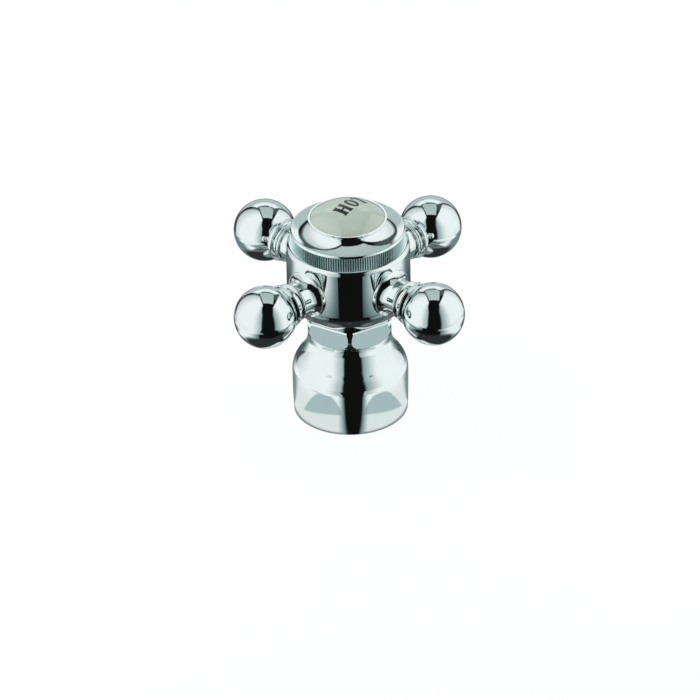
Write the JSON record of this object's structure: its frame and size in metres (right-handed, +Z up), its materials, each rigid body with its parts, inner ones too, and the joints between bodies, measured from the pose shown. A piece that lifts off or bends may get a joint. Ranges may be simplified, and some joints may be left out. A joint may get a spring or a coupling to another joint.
{
  "type": "tap handle",
  "caption": "Cross-head tap handle in bright chrome: ball-ended arms on a turned hub, a knurled cap with a domed porcelain index, a hexagonal neck and a hollow bell skirt over the spindle.",
  "frame": {"origin": "centre of the bell's open foot, on the spindle axis", "axes": "+Z up the spindle axis to the index, arms along X and Y"},
  "size_m": [0.0768, 0.0768, 0.0604],
  "materials": {
    "chrome_hub": "polished chrome plate on brass",
    "chrome_bell": "polished chrome plate on brass",
    "chrome_arm": "polished chrome plate on brass",
    "chrome_cap": "polished chrome plate on brass, knurled edge",
    "porcelain": "glazed, off-white",
    "ring_rubber": "plain black",
    "screw_steel": "plain stainless",
    "bush_brass": "machined"
  },
  "bodies": {
    "root": {"hub": "chrome_hub", "bell_skirt": "chrome_bell", "arm_front": "chrome_arm", "arm_right": "chrome_arm", "arm_back": "chrome_arm", "arm_left": "chrome_arm", "index_cap": "chrome_cap", "index_disc": "porcelain", "cap_oring": "ring_rubber", "fixing_screw": "screw_steel", "screw_washer": "screw_steel", "spindle_bush": "bush_brass"}
  },
  "joints": []
}
